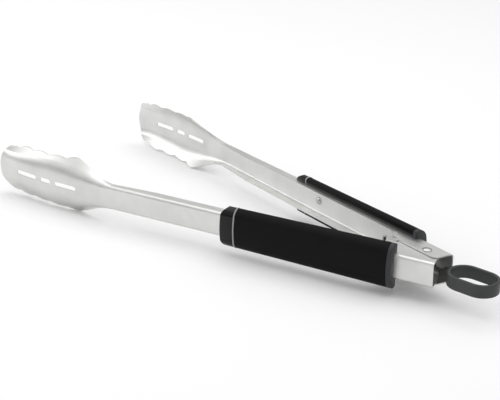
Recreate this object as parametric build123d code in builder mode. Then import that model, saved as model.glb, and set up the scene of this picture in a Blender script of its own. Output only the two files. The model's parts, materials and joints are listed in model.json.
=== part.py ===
from build123d import *
from math import acos, asin, atan2, cos, degrees, hypot, radians, sin
import os

# Spring-loaded locking kitchen tongs, lying on their side: the pivot axis is upright, the heads point
# to -X and the hanging loop to +X. Everything is modelled about the pivot, then moved so that the
# origin is under the middle of the whole object.
# Along an arm, s runs from the pivot towards the head and v runs outwards, away from the other arm.

# ---- driving dimensions, millimetres and degrees ----
HALF_OPEN = 12.3          # each arm's angle from the centre line when the tongs are open
SHEET = 0.9               # stainless sheet of the arms
BEND = 2.5                # outside radius of the arms' folds
FRONT_TAIL = 12.5         # how far each arm reaches behind the pivot
BACK_TAIL = 16.0
NECK = 265.0              # where an arm's channel ends and its head starts
SHALLOW = 9.0             # depth of the arms' side walls beyond the ears
NECK_HALF = 10.0          # half height of both arms at the neck
NECK_DEEP = 6.0           # depth of the side walls there
TAPER_START = 165.0       # the arms narrow from here to the neck
WALLS_FALL = 225.0        # and their side walls get shallower from here
FRONT_WEB = 17.5          # pivot axis to the outside of the front arm
BACK_WEB = 11.0
FRONT_HALF = 9.9          # half height of the front arm, whose ears are the inner ones
BACK_HALF = 11.1
FRONT_EAR = 5.0           # how far the ears reach past the pivot axis
BACK_EAR = 5.2
TAIL_SLANT = 2.0          # the tail's edge slants in by this
HEEL = 7.0                # length of the ear's slanted and rounded corner
HEEL_MIDDLE = (3.4, 1.4)  # a point on that corner, from the tail and from the ear's far edge

HEAD_TIP = 387.0
CURL = 0.0009             # the head bends inwards by this times the squared distance from its start
CURL_FROM = 272.0
HOOK = 0.0014             # and its tip bends in further in the same way
HOOK_FROM = 350.0
TIP_FROM = (369.5, 20.1)  # where the round tip starts: s and half width
NOTCHES = [(366.3, 18.8), (350.0, 19.9), (332.3, 20.3), (314.4, 21.1), (298.0, 22.2)]
CRESTS = [(357.8, 21.5), (341.0, 21.6), (324.0, 21.9), (305.5, 23.1)]   # of the lobes between them
HEAD_SECTIONS = [         # s, half of the flat middle, fold radius, fold angle, straight lip
    (NECK, NECK_HALF - BEND, BEND, 90, NECK_DEEP - BEND),
    (280, 7.2, 6, 68, 3.5),
    (300, 6.5, 14, 46, 8.5),
    (345, 6, 18, 38, 10.5),
    (392, 6, 26, 24, 8),
]
SLOT_WIDTH = 3.7
SLOTS = [(353.7, 21.7), (332.3, 11.0), (310.9, 22.2)]   # middle and length

PIN_R = 2.0
PIN_PLAY = 0.05
PIN_HEAD_R = 3.6
PIN_HEAD = 1.4
WASHER_R = 3.8
WASHER = 0.6

RIVETED = 1.0             # height of the pin's riveted end
RIVETED_OUT = 0.9         # and how far it spreads past the shaft
HINGE_GAP = 0.1           # play between the pieces stacked on the pin

WIRE_R = 0.8
COIL_R = 4.3
COIL_LOW = 1.4
COIL_HIGH = 8.1
COIL_WHOLE_TURNS = 4
LEG_REACH = 24.0

LOCK_Z = -1.3             # the lock plate's mid height
LOCK_THICK = 2.0
LOCK_TRAVEL = 8.0
BAR_R = 1.5
BAR_AT = 38.0             # cross bar to pivot with the lock pushed in
BAR_HALF = 10.8
HOOK_GAP = 0.35           # play round the cross bar in the hooks
HOOK_JAW = 2.05           # height of the jaw under the bar
HOOK_MOUTH = 3.0          # how far the jaw reaches past the locked bar
HOOK_RAMP = 4.2           # and the edge over it, before it slopes up to the side wall
SPUR = (5.2, 4.6, 2.8, 2.2)   # behind the hook: foot, top start, top end and foot, from the locked bar
SPUR_TALL = 1.6
BUSH_LONG = 8.0
BUSH_WIDE = 6.0
BUSH_PROUD = 0.3          # the bush stands past the plate on both sides
PLATE_RIM = 3.5           # round the plate's slot
PLATE_NECK = 8.0          # width of its reach to the cross bar
TANG_WIDE = 4.0
LOOP_FROM = 20.3
LOOP_LONG = 40.0
LOOP_WIDE = 27.0
LOOP_WALL = 2.7
LOOP_TALL = 9.8
LOOP_UP = 0.6             # the loop's middle over the plate's
LOOP_ROUND = 0.8
STEM_THICK = 4.2
STEM_FROM = 14.0
STEM_HALF = (5.0, 3.0)    # half width at the tongs and at the loop

GRIP_TAIL = 18.0
CAP_LONG = 3.6
RING_AT = 148.0
RING_LONG = 1.2
GRIP_NOSE = 160.5
NOSE_ROUND = 7.0          # corner radius of the nose seen from outside
LIP = 5.2                 # how far a grip's rim reaches down the arm's sides
TAIL_SIZE = (17.7, 6.6)   # a grip's half width and its thickness over the arm at its tail
NOSE_SIZE = (16.3, 5.0)   # and at its nose
RIM_TUCK = 1.4            # how far that rim tucks in
WIDEST = 1.6              # a grip is widest this far under the arm's outer face
SHOULDER = (0.62, 0.84)   # a grip's rounded side: shares of its depth and of its half width
CHEEK = (0.88, 0.55)      # where that side meets the crown
RING_PROUD = 0.3
CORE = 2.0
RIVET_AT = 136.0
RIVET_R = 1.5
RIVET_HEAD_R = 3.2
RIVET_DOME = 1.7

TILT = radians(HALF_OPEN)
FRONT = Plane(origin=(0, 0, 0), x_dir=(-cos(TILT), -sin(TILT), 0), z_dir=(0, 0, 1))
BACK = Plane(origin=(0, 0, 0), x_dir=(-cos(TILT), sin(TILT), 0), z_dir=(0, 0, -1))


def station(arm, s):
    """The plane across an arm at s, with its X outwards and its Y along the pivot axis."""
    return Plane(origin=arm.from_local_coords(Vector(s, 0, 0)), x_dir=arm.y_dir, z_dir=arm.x_dir)


def dome_middle(radius, height):
    """Half way up a dome's round side: how far out and how high above the dome's foot."""
    ball = (radius ** 2 + height ** 2) / (2 * height)
    half_turn = asin(radius / ball) / 2
    return ball * sin(half_turn), height - ball * (1 - cos(half_turn))


def facing(arm):
    """The plane through the pivot that looks at an arm's wide face, with its X along s."""
    return Plane(origin=(0, 0, 0), x_dir=arm.x_dir, z_dir=arm.y_dir)


# ---- the arms ----
def half_section(web, flat, bend, turn, flange):
    """One side of a folded sheet's outer or inner line: web end, fold middle, fold end, free edge."""
    centre = Vector(web - bend, flat)
    middle = centre + Vector(bend * cos(turn / 2), bend * sin(turn / 2))
    end = centre + Vector(bend * cos(turn), bend * sin(turn))
    free = end + Vector(-sin(turn), cos(turn)) * flange
    return Vector(web, flat), middle, end, free


def folded_sheet(web, flat, bend, turn, flange):
    """A closed section of folded sheet: a flat web, two folds and two side walls."""
    outer = half_section(web, flat, bend, radians(turn), flange)
    inner = half_section(web - SHEET, flat, bend - SHEET, radians(turn), flange)
    with BuildSketch() as outline:
        with BuildLine():
            for start, middle, end, free in (outer, inner):
                Line(start, Vector(start.X, -start.Y))
                for side in (1, -1):
                    ThreePointArc(*(Vector(p.X, side * p.Y) for p in (start, middle, end)))
                    Line(Vector(end.X, side * end.Y), Vector(free.X, side * free.Y))
            for side in (1, -1):
                Line(Vector(outer[3].X, side * outer[3].Y), Vector(inner[3].X, side * inner[3].Y))
        make_face()
    return outline.sketch


def ear_outline(web, tail, ear, edge):
    """What is kept of an arm seen along the pivot axis: ear, lock hook and shallow side walls."""
    locked = BAR_AT - LOCK_TRAVEL
    pocket = BAR_R + HOOK_GAP
    jaw = pocket + HOOK_JAW
    mouth = locked + HOOK_MOUTH
    slant = (-tail + TAIL_SLANT, (1 - ear) / 2)
    corner = (-tail + HEEL_MIDDLE[0], HEEL_MIDDLE[1] - ear)
    heel = (-tail + HEEL, -ear)
    foot, top_start, top_end, foot_end = (locked - reach for reach in SPUR)
    with BuildSketch() as outline:
        with BuildLine():
            Polyline((NECK + 1, web - NECK_DEEP), (NECK + 1, web + 1), (-tail, web + 1), slant)
            ThreePointArc(slant, corner, heel)
            Polyline(heel, (foot, -ear), (top_start, -ear - SPUR_TALL), (top_end, -ear - SPUR_TALL))
            Polyline((top_end, -ear - SPUR_TALL), (foot_end, -jaw), (mouth, -jaw))
            ThreePointArc((mouth, -jaw), (mouth + 1, -(jaw + pocket) / 2), (mouth, -pocket))
            Line((mouth, -pocket), (locked, -pocket))
            ThreePointArc((locked, -pocket), (locked - pocket, 0), (locked, pocket))
            Polyline((locked, pocket), (locked + HOOK_RAMP, pocket), (BAR_AT + 1, edge + 1), (BAR_AT + 3, edge))
            Polyline((BAR_AT + 3, edge), (WALLS_FALL, edge), (NECK + 1, web - NECK_DEEP))
        make_face()
    return outline.sketch


def head_outline():
    """The head seen from outside: a round tip, then notches with lobes between them."""
    start, half = TIP_FROM
    wide = 2 * half
    with BuildSketch() as outline:
        with BuildLine():
            EllipticalCenterArc((start, 0), HEAD_TIP - start, half, start_angle=-90, arc_size=180)
            for side in (1, -1):
                notches = [(s, side * z) for s, z in NOTCHES]
                crests = [(s, side * z) for s, z in CRESTS]
                Line((start, side * half), notches[0])
                for near, crest, far in zip(notches, crests, notches[1:]):
                    ThreePointArc(near, crest, far)
                Polyline(notches[-1], (NOTCHES[-1][0] - 5, side * wide), (NECK - 1, side * wide))
            Line((NECK - 1, wide), (NECK - 1, -wide))
        make_face()
    return outline.sketch


def pressed_arm(arm, web, half, ear, tail):
    """An arm pressed from one sheet: channel, ears with their lock hook, and a slotted head."""
    edge = web - SHALLOW
    deep = web - BEND + 2 * ear
    ears = ear_outline(web, tail, ear, edge)
    outline = head_outline()
    with BuildPart() as pressed:
        for s, reach in ((-tail, half), (TAPER_START, half), (NECK, NECK_HALF)):
            section = folded_sheet(web, reach - BEND, BEND, 90, deep)
            with BuildSketch(station(arm, s)):
                add(section)
        loft(ruled=True)
        with BuildSketch(arm):
            add(ears)
        extrude(amount=2 * half, both=True, mode=Mode.INTERSECT)
        with BuildSketch(arm):
            Circle(PIN_R + PIN_PLAY)
        extrude(amount=2 * half, both=True, mode=Mode.SUBTRACT)
        with BuildSketch(facing(arm)):
            with Locations((RIVET_AT, 0)):
                Circle(RIVET_R)
        extrude(amount=2 * web, mode=Mode.SUBTRACT)
    with BuildPart() as head:
        for s, flat, bend, turn, flange in HEAD_SECTIONS:
            inwards = CURL * max(0, s - CURL_FROM) ** 2 + HOOK * max(0, s - HOOK_FROM) ** 2
            section = folded_sheet(web - inwards, flat, bend, turn, flange)
            with BuildSketch(station(arm, s)):
                add(section)
        loft()
        with BuildSketch(facing(arm)):
            add(outline)
        extrude(amount=3 * web, both=True, mode=Mode.INTERSECT)
        with BuildSketch(facing(arm)):
            for middle, length in SLOTS:
                with Locations((middle, 0)):
                    SlotOverall(length, SLOT_WIDTH)
        extrude(amount=3 * web, both=True, mode=Mode.SUBTRACT)
    with BuildPart() as whole:
        add(pressed.part)
        add(head.part)
    return whole


# ---- the grips ----
def grip_size(s):
    """A grip's half width and its thickness over the arm, which grow from nose to tail."""
    share = (GRIP_NOSE - s) / (GRIP_NOSE - GRIP_TAIL)
    return tuple(nose + share * (tail - nose) for nose, tail in zip(NOSE_SIZE, TAIL_SIZE))


def grip_outer(web, s, grow=0.0):
    """Section of a grip's outside: a full D with its rim tucked in towards the arm."""
    half, thick = (size + grow for size in grip_size(s))
    rim = web - LIP
    wide = web - WIDEST
    deep = thick + WIDEST
    shoulder, cheek = (wide + share[0] * deep for share in (SHOULDER, CHEEK))
    shoulder_half, cheek_half = (share[1] * half for share in (SHOULDER, CHEEK))
    rim_half = half - RIM_TUCK
    tucked = (rim + RIM_TUCK, half - 0.3 * RIM_TUCK)
    with BuildSketch() as outline:
        with BuildLine():
            for side in (1, -1):
                ThreePointArc((rim, side * rim_half), (tucked[0], side * tucked[1]), (wide, side * half))
                ThreePointArc((wide, side * half), (shoulder, side * shoulder_half), (cheek, side * cheek_half))
            ThreePointArc((cheek, cheek_half), (web + thick, 0), (cheek, -cheek_half))
            Line((rim, rim_half), (rim, -rim_half))
        make_face()
    return outline.sketch


def arm_void(web, half, wall=0.0):
    """The channel inside a grip: the arm's own outside, grown by a wall and open inwards."""
    radius = BEND + wall
    with BuildSketch() as outline:
        with BuildLine():
            for side in (1, -1):
                side_z = side * (half + wall)
                Line((web - LIP, side_z), (web + wall - radius, side_z))
                RadiusArc((web + wall - radius, side_z), (web + wall, side_z - side * radius), side * radius)
            Line((web + wall, half + wall - radius), (web + wall, radius - half - wall))
            Line((web - LIP, half + wall), (web - LIP, -half - wall))
        make_face()
    return outline.sketch


def grip_length(arm, web, half, start, end, grow=0.0, wall=0.0):
    """A length of grip between two stations, hollow for the arm and a wall round it."""
    void = arm_void(web, half, wall)
    with BuildPart() as length:
        for s in (start, end):
            with BuildSketch(station(arm, s)):
                add(grip_outer(web, s, grow))
        loft(ruled=True)
        with BuildSketch(station(arm, start)):
            add(void)
        extrude(amount=end - start, mode=Mode.SUBTRACT)
    return length


def nose_cap(arm, web, half, start):
    """The grip's nose, with its two corners rounded."""
    wide = grip_size(start)[0]
    side_end = GRIP_NOSE - NOSE_ROUND
    front_end = wide - NOSE_ROUND
    turn = NOSE_ROUND * sin(radians(45))
    with BuildPart() as nose:
        add(grip_length(arm, web, half, start, GRIP_NOSE).part)
        with BuildSketch(facing(arm)):
            with BuildLine():
                for side in (1, -1):
                    Line((start - 1, side * wide), (side_end, side * wide))
                    ThreePointArc((side_end, side * wide), (side_end + turn, side * (front_end + turn)),
                                  (GRIP_NOSE, side * front_end))
                Line((GRIP_NOSE, front_end), (GRIP_NOSE, -front_end))
                Line((start - 1, wide), (start - 1, -wide))
            make_face()
        extrude(amount=3 * web, both=True, mode=Mode.INTERSECT)
    return nose


def grip_core(arm, web, half):
    """The hard inner shell that the rivet holds to the arm."""
    outside = arm_void(web, half, CORE)
    void = arm_void(web, half)
    with BuildPart() as core:
        with BuildSketch(station(arm, GRIP_TAIL + CAP_LONG)):
            add(outside)
            add(void, mode=Mode.SUBTRACT)
        extrude(amount=RING_AT - GRIP_TAIL - CAP_LONG)
        with BuildSketch(facing(arm)):
            with Locations((RIVET_AT, 0)):
                Circle(RIVET_R)
        extrude(amount=web + CORE / 2, mode=Mode.SUBTRACT)
    return core


def grip_rivet(arm, web):
    """A rivet from the arm's inside into the grip's core, with a domed head."""
    inside = web - SHEET
    out, up = dome_middle(RIVET_HEAD_R, RIVET_DOME)
    with BuildPart() as rivet:
        with BuildSketch(station(arm, RIVET_AT)):
            with BuildLine():
                Polyline(
                    (inside - RIVET_DOME, 0),
                    (web + CORE / 2, 0),
                    (web + CORE / 2, RIVET_R),
                    (inside, RIVET_R),
                    (inside, RIVET_HEAD_R),
                )
                ThreePointArc((inside, RIVET_HEAD_R), (inside - up, out), (inside - RIVET_DOME, 0))
            make_face()
        axis_start = arm.from_local_coords(Vector(RIVET_AT, 0, 0))
        revolve(axis=Axis(axis_start, arm.y_dir))
    return rivet


# ---- the hinge ----
def sleeve_on_pin(low, high, outer):
    """A plain round sleeve on the pivot pin."""
    with BuildPart() as sleeve:
        with BuildSketch(Plane.XY.offset(low)):
            Circle(outer)
            Circle(PIN_R + PIN_PLAY, mode=Mode.SUBTRACT)
        extrude(amount=high - low)
    return sleeve


def riveted_pin():
    """The pivot: a shaft with a low domed head at the top and a riveted end below the washer."""
    top = BACK_HALF + HINGE_GAP
    bottom = -top - WASHER
    rim = top + PIN_HEAD / 4
    out, up = dome_middle(PIN_HEAD_R, PIN_HEAD * 3 / 4)
    with BuildPart() as pin:
        with BuildSketch(Plane.XZ):
            with BuildLine():
                Polyline(
                    (0, top + PIN_HEAD),
                    (0, bottom - RIVETED),
                    (PIN_R + RIVETED_OUT / 2, bottom - RIVETED * 3 / 4),
                    (PIN_R + RIVETED_OUT, bottom),
                    (PIN_R, bottom),
                    (PIN_R, top),
                    (PIN_HEAD_R, top),
                    (PIN_HEAD_R, rim),
                )
                ThreePointArc((PIN_HEAD_R, rim), (out, rim + up), (0, top + PIN_HEAD))
            make_face()
        revolve(axis=Axis.Z)
    return pin


def world_xy(arm, s, v):
    """A point on an arm, seen along the pivot axis."""
    point = arm.from_local_coords(Vector(s, v, 0))
    return point.X, point.Y


def wound_spring():
    """A torsion spring: a coil round the pin with one straight leg out to each arm."""
    front_end = world_xy(FRONT, LEG_REACH, FRONT_WEB - SHEET - WIRE_R - HINGE_GAP)
    back_end = world_xy(BACK, LEG_REACH, BACK_WEB - SHEET - WIRE_R - HINGE_GAP)
    first = atan2(front_end[1], front_end[0]) + acos(COIL_R / hypot(*front_end))
    last = atan2(back_end[1], back_end[0]) - acos(COIL_R / hypot(*back_end))
    turned = degrees(last - first) % 360 + 360 * (COIL_WHOLE_TURNS - 1)
    tall = COIL_HIGH - COIL_LOW
    coil = Pos(0, 0, COIL_LOW) * Rot(0, 0, degrees(first)) * Helix(tall * 360 / turned, tall, COIL_R)
    front_leg = Line((*front_end, COIL_LOW), coil @ 0)
    back_leg = Line(coil @ 1, (*back_end, COIL_HIGH))
    path = Wire([front_leg.edge(), coil.edge(), back_leg.edge()])
    with BuildPart() as spring:
        with BuildSketch(Plane(origin=path @ 0, z_dir=path % 0)):
            Circle(WIRE_R)
        sweep(path=path)
    return spring


# ---- the lock ----
def slide_bush():
    """The flat-sided bush on the pin that keeps the lock plate straight as it slides."""
    with BuildPart() as bush:
        with BuildSketch(Plane.XY.offset(LOCK_Z - LOCK_THICK / 2 - BUSH_PROUD)):
            SlotOverall(BUSH_LONG, BUSH_WIDE)
            Circle(PIN_R + PIN_PLAY, mode=Mode.SUBTRACT)
        extrude(amount=LOCK_THICK + 2 * BUSH_PROUD)
    return bush


def lock_plate():
    """The sliding plate: a long slot for the bush, a hole for the cross bar, a tang for the loop."""
    slot_long = BUSH_LONG + LOCK_TRAVEL + 2 * PIN_PLAY
    with BuildPart() as plate:
        with BuildSketch(Plane.XY.offset(LOCK_Z - LOCK_THICK / 2)):
            with Locations((-LOCK_TRAVEL / 2, 0)):
                SlotOverall(slot_long + 2 * PLATE_RIM, BUSH_WIDE + 2 * PLATE_RIM)
            with Locations((-BAR_AT / 2, 0)):
                SlotOverall(BAR_AT + PLATE_NECK, PLATE_NECK)
            with Locations((LOOP_FROM / 2, 0)):
                Rectangle(LOOP_FROM, TANG_WIDE)
            with Locations((-LOCK_TRAVEL / 2, 0)):
                SlotOverall(slot_long, BUSH_WIDE + 2 * PIN_PLAY, mode=Mode.SUBTRACT)
            with Locations((-BAR_AT, 0)):
                Circle(BAR_R, mode=Mode.SUBTRACT)
        extrude(amount=LOCK_THICK)
    return plate


def cross_bar():
    """The bar across the lock plate that drops into the hooks of both arms' ears."""
    with BuildPart() as bar:
        with BuildSketch(Plane.XY.offset(-BAR_HALF)):
            with Locations((-BAR_AT, 0)):
                Circle(BAR_R)
        extrude(amount=2 * BAR_HALF)
        chamfer(bar.edges().filter_by(GeomType.CIRCLE), BAR_R / 5)
    return bar


def pull_loop():
    """The moulded hanging loop, with a tapered stem round the plate's tang."""
    low = LOCK_Z + LOOP_UP - LOOP_TALL / 2
    near, far = STEM_HALF
    stem_end = LOOP_FROM + 1
    with BuildPart() as loop:
        with BuildSketch(Plane.XY.offset(low)):
            with Locations((LOOP_FROM + LOOP_LONG / 2, 0)):
                SlotOverall(LOOP_LONG, LOOP_WIDE)
                SlotOverall(LOOP_LONG - 2 * LOOP_WALL, LOOP_WIDE - 2 * LOOP_WALL, mode=Mode.SUBTRACT)
        extrude(amount=LOOP_TALL)
        with BuildSketch(Plane.XY.offset(LOCK_Z - STEM_THICK / 2)):
            with BuildLine():
                Polyline((STEM_FROM, near), (stem_end, far), (stem_end, -far), (STEM_FROM, -near), close=True)
            make_face()
        extrude(amount=STEM_THICK)
        with BuildSketch(Plane.XY.offset(LOCK_Z - LOCK_THICK / 2)):
            with Locations((LOOP_FROM / 2, 0)):
                Rectangle(LOOP_FROM, TANG_WIDE)
        extrude(amount=LOCK_THICK, mode=Mode.SUBTRACT)
        rims = loop.edges().filter_by(Plane.XY).group_by(Axis.Z)
        fillet(rims[0] + rims[-1], LOOP_ROUND)
    return loop


# ---- every piece, by name ----
below_lock = LOCK_Z - LOCK_THICK / 2 - BUSH_PROUD - HINGE_GAP
above_lock = LOCK_Z + LOCK_THICK / 2 + BUSH_PROUD + 3 * HINGE_GAP
pieces = {
    "front_arm": pressed_arm(FRONT, FRONT_WEB, FRONT_HALF, FRONT_EAR, FRONT_TAIL),
    "back_arm": pressed_arm(BACK, BACK_WEB, BACK_HALF, BACK_EAR, BACK_TAIL),
    "pivot_pin": riveted_pin(),
    "pivot_washer": sleeve_on_pin(-BACK_HALF - HINGE_GAP - WASHER, -BACK_HALF - HINGE_GAP, WASHER_R),
    "torsion_spring": wound_spring(),
    "spring_bush": sleeve_on_pin(above_lock, FRONT_HALF - SHEET - HINGE_GAP, COIL_R - WIRE_R - 2 * HINGE_GAP),
    "spacer_sleeve": sleeve_on_pin(SHEET - FRONT_HALF + HINGE_GAP, below_lock, PIN_HEAD_R),
    "slide_bush": slide_bush(),
    "lock_plate": lock_plate(),
    "cross_bar": cross_bar(),
    "pull_loop": pull_loop(),
}
for side, arm, web, half in (("front", FRONT, FRONT_WEB, FRONT_HALF), ("back", BACK, BACK_WEB, BACK_HALF)):
    cap_end = GRIP_TAIL + CAP_LONG
    ring_end = RING_AT + RING_LONG
    pieces[side + "_grip_core"] = grip_core(arm, web, half)
    pieces[side + "_grip_sleeve"] = grip_length(arm, web, half, cap_end, RING_AT, wall=CORE)
    pieces[side + "_end_cap"] = grip_length(arm, web, half, GRIP_TAIL, cap_end)
    pieces[side + "_grip_ring"] = grip_length(arm, web, half, RING_AT, ring_end, grow=RING_PROUD)
    pieces[side + "_nose_cap"] = nose_cap(arm, web, half, ring_end)
    pieces[side + "_grip_rivet"] = grip_rivet(arm, web)

box = Compound([piece.part for piece in pieces.values()]).bounding_box()
to_origin = Pos(-(box.min.X + box.max.X) / 2, -(box.min.Y + box.max.Y) / 2, -box.min.Z)
print("pivot at", to_origin.position, "overall", box.size)
os.makedirs("parts", exist_ok=True)
for name, piece in pieces.items():
    placed = to_origin * piece.part
    placed.label = name
    export_step(placed, "parts/" + name + ".step")
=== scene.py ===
import json
from math import atan2, cos, radians, sin

import bpy
from mathutils import Matrix, Vector


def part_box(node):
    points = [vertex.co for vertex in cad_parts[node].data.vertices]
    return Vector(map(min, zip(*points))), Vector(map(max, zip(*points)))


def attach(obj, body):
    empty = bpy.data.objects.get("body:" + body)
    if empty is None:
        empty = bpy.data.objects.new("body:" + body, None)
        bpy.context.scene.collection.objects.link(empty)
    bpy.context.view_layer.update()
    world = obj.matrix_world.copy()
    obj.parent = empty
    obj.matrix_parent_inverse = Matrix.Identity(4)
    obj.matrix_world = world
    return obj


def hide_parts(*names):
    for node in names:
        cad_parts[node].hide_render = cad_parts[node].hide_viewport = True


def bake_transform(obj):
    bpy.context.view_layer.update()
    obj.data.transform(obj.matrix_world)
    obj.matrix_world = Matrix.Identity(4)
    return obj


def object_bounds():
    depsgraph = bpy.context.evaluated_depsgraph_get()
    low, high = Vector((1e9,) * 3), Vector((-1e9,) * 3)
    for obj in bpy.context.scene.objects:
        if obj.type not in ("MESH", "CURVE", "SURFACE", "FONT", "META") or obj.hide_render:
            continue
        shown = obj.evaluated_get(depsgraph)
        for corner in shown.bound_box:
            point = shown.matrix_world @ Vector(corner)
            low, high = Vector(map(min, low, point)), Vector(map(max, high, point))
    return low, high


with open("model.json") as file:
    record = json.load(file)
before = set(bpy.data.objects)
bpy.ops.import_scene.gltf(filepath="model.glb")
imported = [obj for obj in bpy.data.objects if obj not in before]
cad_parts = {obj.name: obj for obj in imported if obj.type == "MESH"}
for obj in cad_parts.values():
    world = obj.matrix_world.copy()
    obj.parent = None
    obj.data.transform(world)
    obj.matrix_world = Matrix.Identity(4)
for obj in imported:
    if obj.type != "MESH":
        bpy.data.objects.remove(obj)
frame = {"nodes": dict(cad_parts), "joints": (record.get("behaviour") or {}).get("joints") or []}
CAD_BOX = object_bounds()

bl_info = {
    "name": "Kitchen Tongs",
    "version": (1, 0, 0),
    "blender": (4, 5, 0),
    "location": "3D View > Sidebar > Tongs",
    "description": "Builds and finishes a pair of spring-loaded locking kitchen tongs",
    "category": "Object",
}

MM = 0.001
WELD = 0.02 * MM              # vertices closer than this are one
FLAT = radians(0.5)           # faces that turn less than this are one flat face
SMOOTH = radians(30)          # edges that turn less than this are shaded smooth
HINGE = next(j for j in frame["joints"] if j["name"] == "arm_hinge")
PIVOT = Vector(HINGE["pos_m"])
ARM_BODY = {"front": "front arm body", "back": "back arm body"}
SIDES = ("front", "back")


def arm_direction(side):
    """The direction along an arm towards its head, from its grip."""
    low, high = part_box(side + "_grip_ring")
    cap_low, cap_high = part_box(side + "_end_cap")
    along = (low + high) / 2 - (cap_low + cap_high) / 2
    along.z = 0
    return along.normalized()


# ---- settings ----
def metres(name, description, default):
    """A length setting."""
    return bpy.props.FloatProperty(
        name=name, description=description, default=default, min=0.0, precision=5, unit="LENGTH"
    )


def colour(name, description, default):
    """A linear colour setting."""
    return bpy.props.FloatVectorProperty(
        name=name, description=description, default=default, size=3, min=0.0, max=1.0, subtype="COLOR"
    )


def amount(name, description, default, high=1.0):
    """A plain number setting."""
    return bpy.props.FloatProperty(name=name, description=description, default=default, min=0.0, max=high)


class TongsFinish(bpy.types.PropertyGroup):
    """Colours and edge sizes of the finishes."""

    steel: colour("Steel", "Colour of the pressed arms", (0.70, 0.70, 0.688))
    steel_roughness: amount("Steel roughness", "How soft the arms' reflections are", 0.40)
    rubber: colour("Rubber", "Colour of the grips' soft sleeves", (0.0045, 0.0045, 0.005))
    nose: colour("Nose plastic", "Colour of the grips' glossy noses", (0.0035, 0.0035, 0.004))
    cap: colour("Cap plastic", "Colour of the grips' end caps", (0.030, 0.031, 0.034))
    ring: colour("Ring plastic", "Colour of the thin rings", (0.30, 0.31, 0.33))
    loop: colour("Loop plastic", "Colour of the hanging loop", (0.044, 0.046, 0.046))
    nylon: colour("Nylon", "Colour of the bushes in the hinge", (0.70, 0.69, 0.64))
    rivet: colour("Rivet steel", "Colour of the pin, rivets and cross bar", (0.52, 0.52, 0.52))
    spring: colour("Spring steel", "Colour of the spring's wire", (0.42, 0.42, 0.43))
    plate: colour("Plate steel", "Colour of the lock plate", (0.5, 0.5, 0.5))
    sleeve_edge: metres("Sleeve edge", "Rounding of the sleeves' edges", 0.5 * MM)
    nose_edge: metres("Nose edge", "Rounding of the nose caps' edges", 1.6 * MM)
    cap_edge: metres("Cap edge", "Rounding of the end caps' edges", 0.8 * MM)
    ring_edge: metres("Ring edge", "Rounding of the rings' edges", 0.3 * MM)
    loop_edge: metres("Loop edge", "Rounding of the loop's edges", 0.5 * MM)


class TongsStage(bpy.types.PropertyGroup):
    """Camera, floor and lights."""

    azimuth: bpy.props.FloatProperty(
        name="Azimuth", description="Camera's turn round the tongs", default=radians(41.1), subtype="ANGLE"
    )
    elevation: bpy.props.FloatProperty(
        name="Elevation", description="Camera's height as an angle", default=radians(22.6), subtype="ANGLE"
    )
    roll: bpy.props.FloatProperty(
        name="Roll", description="Camera's lean", default=radians(1.04), subtype="ANGLE"
    )
    distance: metres("Distance", "Camera to the point it looks at", 1.0803)
    aim_x: bpy.props.FloatProperty(
        name="Aim X", description="Aim point from the pivot along X", default=-0.1718, unit="LENGTH"
    )
    aim_y: bpy.props.FloatProperty(
        name="Aim Y", description="Aim point from the pivot along Y", default=0.0016, unit="LENGTH"
    )
    lens: bpy.props.FloatProperty(
        name="Lens", description="Focal length", default=96.9, unit="CAMERA"
    )
    room: amount("Room light", "Strength of the room's even light", 0.75, 2.0)
    overhead: amount("Overhead", "Power of the soft light above, in watts", 8.0, 100.0)
    head_side: amount("Head side", "Power of the light at the heads' side, in watts", 5.0, 100.0)
    front: amount("Front", "Power of the low light in front, in watts", 1.2, 100.0)
    floor_tone: amount("Floor", "Paleness of the floor", 0.93)


# ---- finishes ----
class Nodes:
    """A material's node tree, with short calls to add and join nodes."""

    def __init__(self, name):
        self.material = bpy.data.materials.new(name)
        self.material.use_nodes = True
        self.tree = self.material.node_tree
        self.shader = self.tree.nodes["Principled BSDF"]

    def add(self, kind, **inputs):
        """A node of this kind with its sockets set."""
        node = self.tree.nodes.new(kind)
        for key, value in inputs.items():
            node.inputs[key].default_value = value
        return node

    def join(self, source, output, target, socket):
        """A link from one node's output to another's socket."""
        self.tree.links.new(source.outputs[output], target.inputs[socket])

    def coordinates(self, scale, turn=0.0):
        """Object coordinates, turned about Z and stretched."""
        place = self.add("ShaderNodeTexCoord")
        mapping = self.add("ShaderNodeMapping")
        mapping.inputs["Rotation"].default_value = (0, 0, turn)
        mapping.inputs["Scale"].default_value = scale
        self.join(place, "Object", mapping, "Vector")
        return mapping

    def noise(self, mapping, scale, detail=3.0, roughness=0.5):
        """Noise on a mapping."""
        node = self.add("ShaderNodeTexNoise", Scale=scale, Detail=detail, Roughness=roughness)
        self.join(mapping, "Vector", node, "Vector")
        return node

    def spread(self, source, output, low, high, from_low=0.3, from_high=0.7):
        """A texture's values spread between two numbers."""
        node = self.add("ShaderNodeMapRange")
        node.inputs["From Min"].default_value = from_low
        node.inputs["From Max"].default_value = from_high
        node.inputs["To Min"].default_value = low
        node.inputs["To Max"].default_value = high
        self.join(source, output, node, "Value")
        return node

    def tint(self, source, output, first, second, low=0.3, high=0.7):
        """A texture's values as a blend of two colours."""
        ramp = self.tree.nodes.new("ShaderNodeValToRGB")
        ramp.color_ramp.elements[0].position = low
        ramp.color_ramp.elements[1].position = high
        ramp.color_ramp.elements[0].color = (*first, 1)
        ramp.color_ramp.elements[1].color = (*second, 1)
        self.join(source, output, ramp, "Fac")
        self.join(ramp, "Color", self.shader, "Base Color")
        return ramp

    def bump(self, source, output, strength, distance):
        """Fine relief from a texture."""
        node = self.add("ShaderNodeBump", Strength=strength, Distance=distance)
        self.join(source, output, node, "Height")
        self.join(node, "Normal", self.shader, "Normal")
        return node


def shaded(tone, factor):
    """A colour made lighter or darker."""
    return tuple(min(1.0, part * factor) for part in tone)


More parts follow.
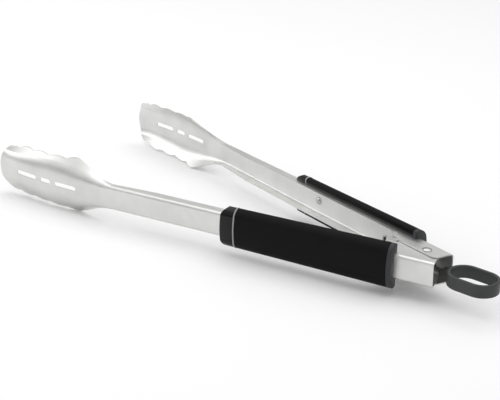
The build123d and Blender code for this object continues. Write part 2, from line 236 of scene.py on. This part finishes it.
def brushed_steel(name, tone, roughness, turn, grain=1.0):
    """Stainless steel brushed along an arm."""
    steel = Nodes(name)
    streaks = steel.noise(steel.coordinates((6, 900, 900), turn), grain, 4.0)
    clouds = steel.noise(steel.coordinates((1, 1, 1)), 45.0, 2.0)
    steel.tint(clouds, "Fac", shaded(tone, 0.94), shaded(tone, 1.05))
    rough = steel.spread(streaks, "Fac", roughness - 0.05, roughness + 0.07)
    steel.join(rough, "Result", steel.shader, "Roughness")
    steel.bump(streaks, "Fac", 0.06, 0.00002)
    steel.shader.inputs["Metallic"].default_value = 1.0
    return steel.material


def polished_steel(name, tone, roughness):
    """Bright steel of the pin, rivets, cross bar and spring, with faint handling marks."""
    steel = Nodes(name)
    marks = steel.noise(steel.coordinates((1, 1, 1)), 900.0, 4.0)
    steel.tint(marks, "Fac", shaded(tone, 0.92), tone)
    rough = steel.spread(marks, "Fac", roughness * 0.7, roughness * 1.4)
    steel.join(rough, "Result", steel.shader, "Roughness")
    steel.shader.inputs["Metallic"].default_value = 1.0
    return steel.material


def moulded_plastic(name, tone, roughness, grain_scale, grain_depth, specular=0.5):
    """Moulded plastic or rubber with a fine eroded grain and slightly uneven gloss."""
    plastic = Nodes(name)
    grain = plastic.noise(plastic.coordinates((1, 1, 1)), grain_scale, 3.0, 0.6)
    clouds = plastic.noise(plastic.coordinates((1, 1, 1)), 60.0, 2.0)
    plastic.tint(clouds, "Fac", shaded(tone, 0.85), shaded(tone, 1.15))
    rough = plastic.spread(clouds, "Fac", roughness - 0.04, roughness + 0.05)
    plastic.join(rough, "Result", plastic.shader, "Roughness")
    plastic.bump(grain, "Fac", 0.35, grain_depth)
    plastic.shader.inputs["Specular IOR Level"].default_value = specular
    return plastic.material


def finish(obj, material):
    """An object's only material."""
    obj.data.materials.clear()
    obj.data.materials.append(material)


# ---- modelling helpers ----
def deselect():
    """Nothing selected and nothing in edit mode."""
    if bpy.context.object and bpy.context.object.mode != "OBJECT":
        bpy.ops.object.mode_set(mode="OBJECT")
    bpy.ops.object.select_all(action="DESELECT")


def activate(obj):
    """Only this object selected, and active."""
    deselect()
    obj.select_set(True)
    bpy.context.view_layer.objects.active = obj


def solid_copy(node, name):
    """A welded copy of a node's mesh, with its flat faces whole again."""
    piece = frame["nodes"][node].copy()
    piece.data = piece.data.copy()
    piece.name = name
    piece.parent = None
    for key in list(piece.keys()):
        if key.startswith("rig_"):
            del piece[key]
    bpy.context.scene.collection.objects.link(piece)
    activate(piece)
    bpy.ops.object.mode_set(mode="EDIT")
    bpy.ops.mesh.select_all(action="SELECT")
    bpy.ops.mesh.remove_doubles(threshold=WELD)
    bpy.ops.mesh.dissolve_limited(angle_limit=FLAT)
    bpy.ops.object.mode_set(mode="OBJECT")
    if piece.data.has_custom_normals:
        bpy.ops.mesh.customdata_custom_splitnormals_clear()
    return piece


def soften(piece, width, segments=3, angle=35):
    """Rounded edges, applied, with smooth faces between them."""
    activate(piece)
    bevel = piece.modifiers.new("Edges", "BEVEL")
    bevel.width = width
    bevel.segments = segments
    bevel.limit_method = "ANGLE"
    bevel.angle_limit = radians(angle)
    bevel.use_clamp_overlap = True
    bpy.ops.object.modifier_apply(modifier=bevel.name)
    bpy.ops.object.shade_smooth_by_angle(angle=SMOOTH)
    return piece


def stand_for(piece, node, body, material):
    """The piece takes a node's place on its body, with its finish."""
    finish(piece, material)
    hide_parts(node)
    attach(piece, body)
    return piece


# ---- operators ----
class TongsArms(bpy.types.Operator):
    """Finish the two pressed arms in steel brushed along their length"""

    bl_idname = "tongs.arms"
    bl_label = "Steel arms"

    def execute(self, context):
        look = context.scene.tongs_finish
        for side in SIDES:
            along = arm_direction(side)
            turn = -atan2(along.y, along.x)
            steel = brushed_steel(side + " arm steel", look.steel, look.steel_roughness, turn)
            finish(frame["nodes"][side + "_arm"], steel)
        return {"FINISHED"}


class TongsGrips(bpy.types.Operator):
    """Model the sleeves, nose caps, rings and end caps of both grips"""

    bl_idname = "tongs.grips"
    bl_label = "Grips"

    def execute(self, context):
        look = context.scene.tongs_finish
        rubber = moulded_plastic("grip rubber", look.rubber, 0.55, 1800.0, 0.00006, 0.10)
        nose = moulded_plastic("nose plastic", look.nose, 0.16, 700.0, 0.000005, 0.28)
        cap = moulded_plastic("cap plastic", look.cap, 0.38, 1500.0, 0.00003, 0.3)
        ring = moulded_plastic("ring plastic", look.ring, 0.32, 1500.0, 0.00002)
        core = moulded_plastic("core plastic", look.rubber, 0.45, 900.0, 0.00002)
        parts = (
            ("_grip_sleeve", "grip_rubber", rubber, look.sleeve_edge),
            ("_nose_cap", "nose_plastic", nose, look.nose_edge),
            ("_end_cap", "cap_plastic", cap, look.cap_edge),
            ("_grip_ring", "ring_plastic", ring, look.ring_edge),
        )
        for side in SIDES:
            for ending, slot, material, edge in parts:
                node = side + ending
                piece = soften(solid_copy(node, node + "_moulded"), edge)
                stand_for(piece, node, ARM_BODY[side], material)
            finish(frame["nodes"][side + "_grip_core"], core)
        return {"FINISHED"}


class TongsLoop(bpy.types.Operator):
    """Model the hanging loop with its stem"""

    bl_idname = "tongs.loop"
    bl_label = "Hanging loop"

    def execute(self, context):
        look = context.scene.tongs_finish
        plastic = moulded_plastic("loop plastic", look.loop, 0.42, 1600.0, 0.00004, 0.3)
        piece = soften(solid_copy("pull_loop", "pull_loop_moulded"), look.loop_edge)
        stand_for(piece, "pull_loop", "lock body", plastic)
        return {"FINISHED"}


class TongsSpring(bpy.types.Operator):
    """Model the torsion spring in one fixed shape; the real spring winds up as the arms close"""

    bl_idname = "tongs.spring"
    bl_label = "Torsion spring"

    def execute(self, context):
        wire = polished_steel("spring wire", context.scene.tongs_finish.spring, 0.3)
        piece = solid_copy("torsion_spring", "torsion_spring_wound")
        activate(piece)
        bpy.ops.object.shade_smooth_by_angle(angle=radians(50))
        finish(piece, wire)
        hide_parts("torsion_spring")
        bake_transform(piece)
        return {"FINISHED"}


class TongsHinge(bpy.types.Operator):
    """Finish the pin, rivets, lock and bushes"""

    bl_idname = "tongs.hinge"
    bl_label = "Hinge and lock"

    def execute(self, context):
        look = context.scene.tongs_finish
        bright = polished_steel("bright rivet steel", look.rivet, 0.14)
        plate = brushed_steel("lock plate steel", look.plate, 0.35, 0.0)
        nylon = moulded_plastic("bush nylon", look.nylon, 0.45, 900.0, 0.00002)
        for node in ("pivot_pin", "pivot_washer", "cross_bar", "front_grip_rivet", "back_grip_rivet"):
            finish(frame["nodes"][node], bright)
        finish(frame["nodes"]["lock_plate"], plate)
        for node in ("spring_bush", "spacer_sleeve", "slide_bush"):
            finish(frame["nodes"][node], nylon)
        return {"FINISHED"}


class TongsSetting(bpy.types.Operator):
    """Set out the floor, the lights and the camera"""

    bl_idname = "tongs.stage"
    bl_label = "Floor, lights and camera"

    def execute(self, context):
        look = context.scene.tongs_stage
        self.floor(look)
        self.world(look)
        self.lights(look)
        self.camera(look)
        context.scene.view_settings.view_transform = "Standard"
        return {"FINISHED"}

    def floor(self, look):
        """A wide pale floor under the tongs."""
        deselect()
        low, _ = CAD_BOX
        bpy.ops.mesh.primitive_plane_add(size=12, location=(0, 0, low[2] - 0.5 * MM))
        floor = bpy.context.object
        floor.name = "stage_floor"
        paper = Nodes("floor paper")
        fibres = paper.noise(paper.coordinates((1, 1, 1)), 3.0, 2.0)
        tone = look.floor_tone
        paper.tint(fibres, "Fac", (tone, tone, tone), (tone + 0.01,) * 3)
        paper.shader.inputs["Roughness"].default_value = 0.9
        paper.shader.inputs["Specular IOR Level"].default_value = 0.0
        finish(floor, paper.material)

    def world(self, look):
        """A pale room, bright overhead and greyer towards the horizon, so that steel has contrast."""
        world = bpy.data.worlds.new("pale room")
        world.use_nodes = True
        tree = world.node_tree
        place = tree.nodes.new("ShaderNodeTexCoord")
        height = tree.nodes.new("ShaderNodeSeparateXYZ")
        ramp = tree.nodes.new("ShaderNodeValToRGB")
        ramp.color_ramp.elements[0].position = 0.0
        ramp.color_ramp.elements[0].color = (0.30, 0.30, 0.305, 1)
        ramp.color_ramp.elements[1].position = 0.55
        ramp.color_ramp.elements[1].color = (1.0, 1.0, 1.0, 1)
        tree.links.new(place.outputs["Generated"], height.inputs["Vector"])
        tree.links.new(height.outputs["Z"], ramp.inputs["Fac"])
        tree.links.new(ramp.outputs["Color"], tree.nodes["Background"].inputs["Color"])
        tree.nodes["Background"].inputs["Strength"].default_value = look.room
        bpy.context.scene.world = world

    def lights(self, look):
        """A large soft light above, one from the heads' side and a low one in front."""
        for name, place, aim, size, power in (
            ("overhead", (-0.1, 0.15, 1.3), (-0.05, 0, 0), 1.6, look.overhead),
            ("head side", (-1.4, -0.6, 0.7), (-0.15, 0, 0), 0.9, look.head_side),
            ("front", (0.5, -1.5, 0.35), (0.1, 0, 0), 0.5, look.front),
        ):
            data = bpy.data.lights.new(name, "AREA")
            data.shape = "SQUARE"
            data.size = size
            data.energy = power
            lamp = bpy.data.objects.new(name, data)
            bpy.context.scene.collection.objects.link(lamp)
            lamp.location = place
            lamp.rotation_euler = (Vector(aim) - Vector(place)).to_track_quat("-Z", "Y").to_euler()

    def camera(self, look):
        """The camera, from its angles, distance and aim."""
        data = bpy.data.cameras.new("camera")
        data.lens = look.lens
        data.sensor_width = 36
        camera = bpy.data.objects.new("camera", data)
        bpy.context.scene.collection.objects.link(camera)
        back = Vector((
            sin(look.azimuth) * cos(look.elevation),
            -cos(look.azimuth) * cos(look.elevation),
            sin(look.elevation),
        ))
        aim = PIVOT + Vector((look.aim_x, look.aim_y, 0))
        turn = back.to_track_quat("Z", "Y").to_matrix().to_4x4()
        lean = Matrix.Rotation(look.roll, 4, "Z")
        camera.matrix_world = Matrix.Translation(aim + back * look.distance) @ turn @ lean
        bpy.context.scene.camera = camera


class TongsPanel(bpy.types.Panel):
    """The tongs' settings and build steps"""

    bl_idname = "VIEW3D_PT_tongs"
    bl_label = "Kitchen Tongs"
    bl_space_type = "VIEW_3D"
    bl_region_type = "UI"
    bl_category = "Tongs"

    def draw(self, context):
        for group in (context.scene.tongs_finish, context.scene.tongs_stage):
            for name in group.bl_rna.properties.keys():
                if name not in ("rna_type", "name"):
                    self.layout.prop(group, name)
        for operator in OPERATORS:
            self.layout.operator(operator.bl_idname)


OPERATORS = (TongsArms, TongsGrips, TongsLoop, TongsSpring, TongsHinge, TongsSetting)
CLASSES = (TongsFinish, TongsStage, *OPERATORS, TongsPanel)


def register():
    """Add the classes and the scene's settings."""
    for item in CLASSES:
        bpy.utils.register_class(item)
    bpy.types.Scene.tongs_finish = bpy.props.PointerProperty(type=TongsFinish)
    bpy.types.Scene.tongs_stage = bpy.props.PointerProperty(type=TongsStage)


def unregister():
    """Take the settings and the classes away again."""
    del bpy.types.Scene.tongs_stage
    del bpy.types.Scene.tongs_finish
    for item in reversed(CLASSES):
        bpy.utils.unregister_class(item)


def main():
    """Build every piece in order."""
    register()
    bpy.ops.tongs.arms()
    bpy.ops.tongs.grips()
    bpy.ops.tongs.loop()
    bpy.ops.tongs.spring()
    bpy.ops.tongs.hinge()
    bpy.ops.tongs.stage()


if __name__ == "__main__":
    main()
